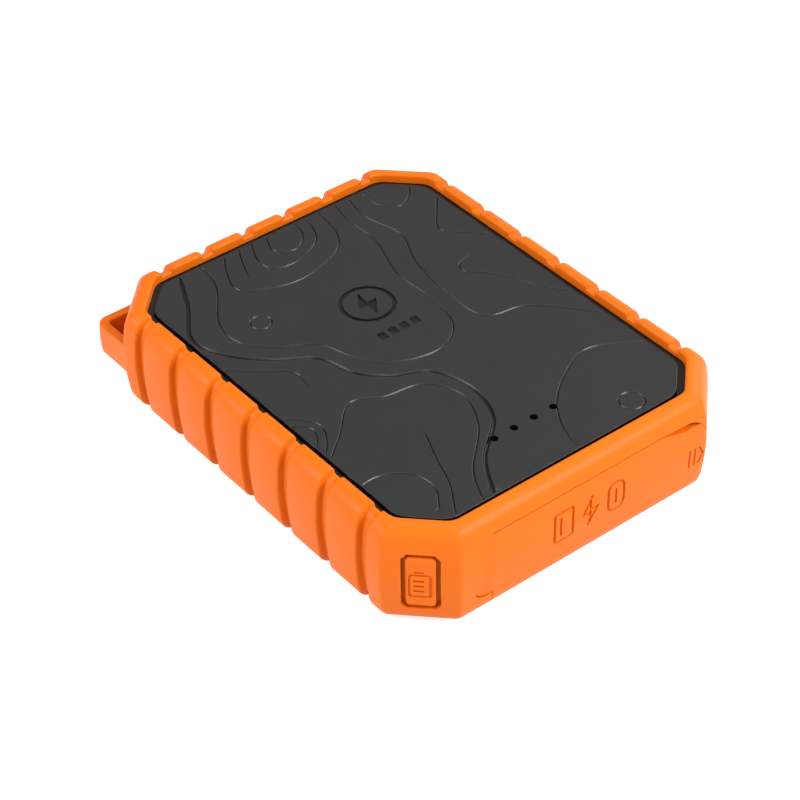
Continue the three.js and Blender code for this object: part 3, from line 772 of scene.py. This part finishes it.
# Contour lines of an imaginary landscape, running off the panel's edges: (kind, points on the line).
CONTOURS = [
    (WIDE, [(-25, 53), (-31, 40), (-37, 30), (-35, 21), (-28, 13), (-20, 7), (-17, -2), (-11, -8),
            (-4, -12), (-1, -22), (-4, -32), (-13, -40), (-18, -48), (-20, -54)]),
    (THIN, [(-20, 53), (-22, 42), (-29, 31), (-30, 23), (-25, 16), (-17, 11), (-14, 3), (-9, -4),
            (2, -7), (10, -2), (12, 9), (12, 20), (16, 33), (16, 43), (18, 53)]),
    (THIN, [(22, 53), (20, 42), (22, 31), (18, 21), (16, 8), (17, -4), (26, -7), (33, -14), (40, -23)]),
    (THIN, [(-42, -24), (-32, -16), (-24, -9), (-17, -12), (-8, -14), (-4, -22), (-8, -32),
            (-17, -41), (-21, -48), (-23, -54)]),
    (THIN, [(3, -54), (5, -44), (10, -36), (18, -30), (26, -27), (33, -30), (41, -35)]),
    (THIN, [(-42, -32), (-34, -31), (-28, -35), (-27, -41), (-30, -46)]),
    (THIN, [(-18, -27), (-21, -34), (-24, -42), (-29, -50)]),
    (THIN, [(-42, -1), (-36, -6), (-33, -11), (-36, -17), (-42, -22)]),
    (THIN, [(-42, -4), (-37, -8), (-35, -11), (-37, -15), (-42, -19)]),
    (THIN, [(-42, 21), (-34, 13), (-27, 7), (-27, 2)]),
    (THIN, [(-12, 53), (-17, 45), (-19, 38), (-14, 34), (-5, 32), (6, 35), (11, 41), (13, 53)]),
    (THIN, [(-9, 52), (-12, 46), (-14, 41)]),
    (THIN, [(-5, 53), (-9, 44), (-8, 39), (-2, 38), (5, 41), (8, 46), (9, 53)]),
    (THIN, [(-1, 53), (-4, 46), (-3, 43), (1, 42), (5, 46), (6, 53)]),
    (THIN, [(25, 53), (25, 44), (29, 40), (34, 43), (36, 47)]),
    (THIN, [(41, 41), (34, 33), (30, 27), (34, 22), (41, 15)]),
    (THIN, [(29, 15), (25, 14), (24, 11), (27, 8), (31, 2), (34, -5), (41, -14)]),
]
# Small closed rings on the same landscape: (centre, radius).
RINGS = [((-22, 25), 2.4), ((22, -46), 2.8)]


def smooth_line(points, steps=10):
    """A smooth curve through the points, with its own points evenly spaced."""
    points = np.array(points, float)
    padded = np.vstack([2 * points[0] - points[1], points, 2 * points[-1] - points[-2]])
    curve = [points[:1]]
    for before, start, end, after in zip(padded, padded[1:], padded[2:], padded[3:]):
        pull = [start, start + (end - before) / 6, end - (after - start) / 6, end]
        curve.append(bezier(pull, steps))
    curve = np.vstack(curve)
    lengths = np.hypot(*np.diff(curve, axis=0).T)
    travelled = np.concatenate([[0], np.cumsum(lengths)])
    stops = np.linspace(0, travelled[-1], round(travelled[-1] / LINE_SPACING) + 1)
    return np.stack([np.interp(stops, travelled, curve[:, k]) for k in (0, 1)], axis=1)


def engraved_rows(points, closed, kind, edge):
    """Rows of points along an engraved line, from one of its sides to the other."""
    floor, depth = kind
    ahead = np.roll(points, -1, axis=0) - np.roll(points, 1, axis=0)
    if not closed:
        ahead[[0, -1]] = points[1] - points[0], points[-1] - points[-2]
    ahead /= np.hypot(*ahead.T)[:, None]
    sideways = np.stack([-ahead[:, 1], ahead[:, 0]], axis=1)
    pairs = around(points) if closed else around(points)[:-1]
    rows = []
    for side in (-1, 1):
        for distance, share in LINE_PROFILE:
            row = points + sideways * side * (floor + distance)
            inside = contains(edge, row)
            kept = [(a, b) for a, b in pairs if inside[a] and inside[b]]
            used = sorted({k for pair in kept for k in pair})
            place = {k: i for i, k in enumerate(used)}
            if used:
                rows.append((row[used], [(place[a], place[b]) for a, b in kept], share * depth))
    return rows


def panel_lines():
    clearance = 0.3
    edge = outline(-PANEL_INSET - PANEL_EDGE[-1][0] - clearance)
    rows = []
    for kind, points in CONTOURS:
        rows += engraved_rows(smooth_line(points), False, kind, edge)
    for centre, radius in RINGS:
        rows += engraved_rows(arc(np.array(centre), radius, 0, 350, 35), True, THIN, edge)
    return rows


def panel_place(points, depth):
    return np.column_stack([points, PANEL_FACE - depth])


def build_panel():
    holes = [
        arc(((low + high) / 2)[:2], LED_HOLE_RADIUS, 0, 360 - 22.5, 15) for low, high in led_boxes
    ]
    emblem = [
        *ring_feature((0, EMBLEM_Y), 13, 13, 6.4, 0.9, 0.4),
        *engraved(bolt_outline((0, EMBLEM_Y), 6, 8.6), 0.45, 0.2),
    ]
    ticks = [
        engraved(rounded_rectangle((x, TICKS_Y), 2.0, 2.4, 0.4), 0.35) for x in (-4.5, -1.5, 1.5, 4.5)
    ]
    features = [*emblem, *(feature for tick in ticks for feature in tick)]
    border = resample(outline(-PANEL_INSET), 2.0)
    thickness = PANEL_FACE - panel_low[2]
    return plate("panel_skin", border, PANEL_EDGE, holes, features, spacing=2.4, place=panel_place,
                 back=thickness, smooth_angle=50, lines=panel_lines())


# ---- Materials ----
# Painted shade: a darker base colour below the panel's face, at full strength at this depth, so that sunk
# lines, channels and the panel's edge look shaded.
SHADE_PAINT_DEPTH = 0.25
PAINTED_SHADE_COLOUR = (0.002, 0.002, 0.002)
PATCH_SCALE = 90
WEAR_SCALE = 400
ROUGHNESS_SPREAD = 0.06


def add_node(tree, kind, **inputs):
    node = tree.nodes.new(kind)
    for key, value in inputs.items():
        node.inputs[key.replace("_", " ")].default_value = value
    return node


def moulded(name, colour, tint, roughness, grain, bump, metallic=0.0, stretch=(1, 1, 1), **extra):
    """A procedural finish: two close colours in soft patches, a fine grain, uneven roughness.

    grain is the size of the surface texture in millimetres and bump its depth.
    """
    material = bpy.data.materials.new(name)
    material.use_nodes = True
    tree = material.node_tree
    shader = tree.nodes["Principled BSDF"]
    shader.inputs["Metallic"].default_value = metallic
    for key, value in extra.items():
        shader.inputs[key.replace("_", " ")].default_value = value
    coordinates = tree.nodes.new("ShaderNodeTexCoord")
    mapping = add_node(tree, "ShaderNodeMapping", Scale=stretch)
    tree.links.new(coordinates.outputs["Object"], mapping.inputs["Vector"])

    def noise(scale, detail):
        node = add_node(tree, "ShaderNodeTexNoise", Scale=scale, Detail=detail)
        tree.links.new(mapping.outputs["Vector"], node.inputs["Vector"])
        return node.outputs["Fac"]

    mix = tree.nodes.new("ShaderNodeMix")
    mix.data_type = "RGBA"
    mix.inputs["A"].default_value = (*colour, 1)
    mix.inputs["B"].default_value = (*tint, 1)
    tree.links.new(noise(PATCH_SCALE, 4), mix.inputs["Factor"])
    tree.links.new(mix.outputs["Result"], shader.inputs["Base Color"])

    smoothest, roughest = roughness - ROUGHNESS_SPREAD, roughness + ROUGHNESS_SPREAD
    rough = add_node(tree, "ShaderNodeMapRange", To_Min=smoothest, To_Max=roughest)
    tree.links.new(noise(WEAR_SCALE, 3), rough.inputs["Value"])
    tree.links.new(rough.outputs["Result"], shader.inputs["Roughness"])

    relief = add_node(tree, "ShaderNodeBump", Strength=0.6, Distance=bump * MM)
    tree.links.new(noise(1 / (grain * MM), 2), relief.inputs["Height"])
    tree.links.new(relief.outputs["Normal"], shader.inputs["Normal"])
    return material


def paint_hollow_shade(material, face, depth, colour):
    """Paints shade into the base colour: mixes in a darker colour below a level face, fully at a depth in
    millimetres.
    """
    tree = material.node_tree
    base = tree.nodes["Principled BSDF"].inputs["Base Color"]
    plain = base.links[0].from_socket
    coordinates = tree.nodes.new("ShaderNodeTexCoord")
    split = tree.nodes.new("ShaderNodeSeparateXYZ")
    tree.links.new(coordinates.outputs["Object"], split.inputs["Vector"])
    lowest, highest = (face - depth) * MM, face * MM
    level = add_node(tree, "ShaderNodeMapRange", From_Min=lowest, From_Max=highest)
    tree.links.new(split.outputs["Z"], level.inputs["Value"])
    mix = tree.nodes.new("ShaderNodeMix")
    mix.data_type = "RGBA"
    mix.inputs["A"].default_value = (*colour, 1)
    tree.links.new(plain, mix.inputs["B"])
    tree.links.new(level.outputs["Result"], mix.inputs["Factor"])
    tree.links.new(mix.outputs["Result"], base)


def make_materials():
    return {
        "orange_rubber": moulded("orange_rubber", (0.58, 0.106, 0.002), (0.63, 0.118, 0.003), 0.42,
                                 0.35, 0.008, Specular_IOR_Level=0.13),
        "charcoal_plastic": moulded("charcoal_plastic", (0.0117, 0.0117, 0.0118), (0.0137, 0.0137, 0.0138),
                                    0.36, 0.3, 0.004, Specular_IOR_Level=0.4),
        "black_plastic": moulded("black_plastic", (0.011, 0.011, 0.011), (0.014, 0.014, 0.014), 0.5,
                                 0.3, 0.006, Specular_IOR_Level=0.3),
        "gasket_rubber": moulded("gasket_rubber", (0.02, 0.02, 0.02), (0.03, 0.03, 0.03), 0.7, 0.3, 0.02),
        "smoky_plastic": moulded("smoky_plastic", (0.05, 0.052, 0.058), (0.08, 0.082, 0.09), 0.2,
                                 0.5, 0.004),
        "plated_steel": moulded("plated_steel", (0.6, 0.61, 0.63), (0.7, 0.7, 0.71), 0.3, 0.2, 0.004,
                                1.0, (1, 12, 1)),
        "nickel": moulded("nickel", (0.58, 0.55, 0.5), (0.66, 0.63, 0.58), 0.35, 0.2, 0.004, 1.0, (1, 8, 1)),
        "board_green": moulded("board_green", (0.01, 0.09, 0.035), (0.02, 0.14, 0.06), 0.35, 1.2, 0.02),
        "ivory_plastic": moulded("ivory_plastic", (0.75, 0.74, 0.68), (0.8, 0.79, 0.74), 0.45, 0.3, 0.006),
        "chip_black": moulded("chip_black", (0.012, 0.012, 0.013), (0.02, 0.02, 0.022), 0.6, 0.15, 0.01),
        "ferrite": moulded("ferrite", (0.04, 0.04, 0.042), (0.06, 0.06, 0.06), 0.7, 0.25, 0.03),
        "can_aluminium": moulded("can_aluminium", (0.68, 0.69, 0.7), (0.76, 0.76, 0.77), 0.35, 0.2, 0.004,
                                 1.0),
        "cell_foil": moulded("cell_foil", (0.5, 0.51, 0.53), (0.6, 0.61, 0.62), 0.35, 3.0, 0.08, 0.8),
        "tape": moulded("tape", (0.74, 0.73, 0.68), (0.8, 0.79, 0.75), 0.7, 0.6, 0.02),
        "foam": moulded("foam", (0.02, 0.02, 0.022), (0.04, 0.04, 0.042), 0.9, 0.4, 0.08),
        "led_lens": moulded("led_lens", (0.8, 0.76, 0.55), (0.85, 0.82, 0.65), 0.2, 0.3, 0.004),
        "amber_plastic": moulded("amber_plastic", (0.55, 0.4, 0.2), (0.62, 0.47, 0.25), 0.45, 0.3, 0.006),
    }


def dress(piece, slot, materials):
    piece.data.materials.clear()
    piece.data.materials.append(materials[slot])


# ---- Studio: camera, floor and lights ----
AZIMUTH = math.radians(-37.96)
ELEVATION = math.radians(39.62)
ROLL = math.radians(-1.05)
DISTANCE = 0.5172
LENS = 111.72
TARGET = Vector((-16.43 * MM, -16.54 * MM, HEIGHT * MM))


def make_camera():
    back = Vector((
        math.sin(AZIMUTH) * math.cos(ELEVATION),
        -math.cos(AZIMUTH) * math.cos(ELEVATION),
        math.sin(ELEVATION),
    ))
    right = Vector((math.cos(AZIMUTH), math.sin(AZIMUTH), 0))
    up = back.cross(right)
    tilted_right = right * math.cos(ROLL) + up * math.sin(ROLL)
    tilted_up = up * math.cos(ROLL) - right * math.sin(ROLL)
    data = bpy.data.cameras.new("camera")
    data.lens = LENS
    data.clip_start = 0.01
    data.clip_end = 20
    camera = bpy.data.objects.new("camera", data)
    bpy.context.scene.collection.objects.link(camera)
    turn = Matrix((tilted_right, tilted_up, back)).transposed()
    camera.matrix_world = Matrix.Translation(TARGET + back * DISTANCE) @ turn.to_4x4()
    bpy.context.scene.camera = camera


def make_light(name, place, target, size, power):
    data = bpy.data.lights.new(name, "AREA")
    data.shape = "DISK"
    data.size = size
    data.energy = power
    light = bpy.data.objects.new(name, data)
    light.location = place
    light.rotation_mode = "QUATERNION"
    light.rotation_quaternion = (Vector(target) - Vector(place)).to_track_quat("-Z", "Y")
    bpy.context.scene.collection.objects.link(light)


def make_floor():
    reach, gap = 3.0, 0.0002
    mesh = bpy.data.meshes.new("floor")
    corners = [(-reach, -reach, 0), (reach, -reach, 0), (reach, reach, 0), (-reach, reach, 0)]
    mesh.from_pydata(corners, [], [(0, 1, 2, 3)])
    floor = bpy.data.objects.new("floor", mesh)
    floor.location.z = -gap
    bpy.context.scene.collection.objects.link(floor)
    mesh.materials.append(moulded("floor_paper", (0.4, 0.4, 0.4), (0.42, 0.42, 0.42), 0.8, 2.0, 0.01,
                                   Emission_Color=(1, 1, 1, 1), Emission_Strength=0.7))


def make_studio():
    make_camera()
    make_floor()
    world = bpy.data.worlds.new("world")
    world.use_nodes = True
    world.node_tree.nodes["Background"].inputs["Color"].default_value = (1, 1, 1, 1)
    world.node_tree.nodes["Background"].inputs["Strength"].default_value = 0.45
    bpy.context.scene.world = world
    make_light("left_softbox", (-1.17, 0.63, 0.75), (0, 0, 0.01), size=0.85, power=18)
    make_light("right_softbox", (0.36, -0.68, 0.64), (0, 0, 0.01), size=0.5, power=11.5)
    make_light("front_softbox", (-0.55, -0.65, 0.5), (0, 0, 0.01), size=0.4, power=2)
    make_light("top_softbox", (0.1, 0.1, 1.0), (0, 0, 0), size=0.6, power=3)
    make_light("far_softbox", (0.88, 0.12, 0.5), (0, 0, 0), size=0.5, power=3)
    bpy.context.scene.view_settings.view_transform = "Standard"


def build():
    materials = make_materials()
    # Painted shade on everything in the charcoal plastic below the panel's face: its sunk lines, channels
    # and edge.
    paint_hollow_shade(materials["charcoal_plastic"], PANEL_FACE, SHADE_PAINT_DEPTH, PAINTED_SHADE_COLOUR)
    make_studio()
    pieces = [
        (build_bumper(), "case", ["bumper", "lanyard_loop"], "orange_rubber"),
        (build_panel(), "case", ["top_panel"], "charcoal_plastic"),
        (build_flap(), "flap", ["port_flap"], "orange_rubber"),
        (build_button(), "button", ["power_button"], "orange_rubber"),
    ]
    for piece, body, nodes, slot in pieces:
        dress(piece, slot, materials)
        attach(piece, body)
        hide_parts(*nodes)
    hinge = build_hinge()
    dress(hinge, "orange_rubber", materials)
    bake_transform(hinge)
    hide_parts("flap_hinge")

    slots = {row["node"]: row["material_slot"] for row in frame["record"]["subparts"]}
    for node, piece in frame["nodes"].items():
        dress(piece, slots[node], materials)


build()
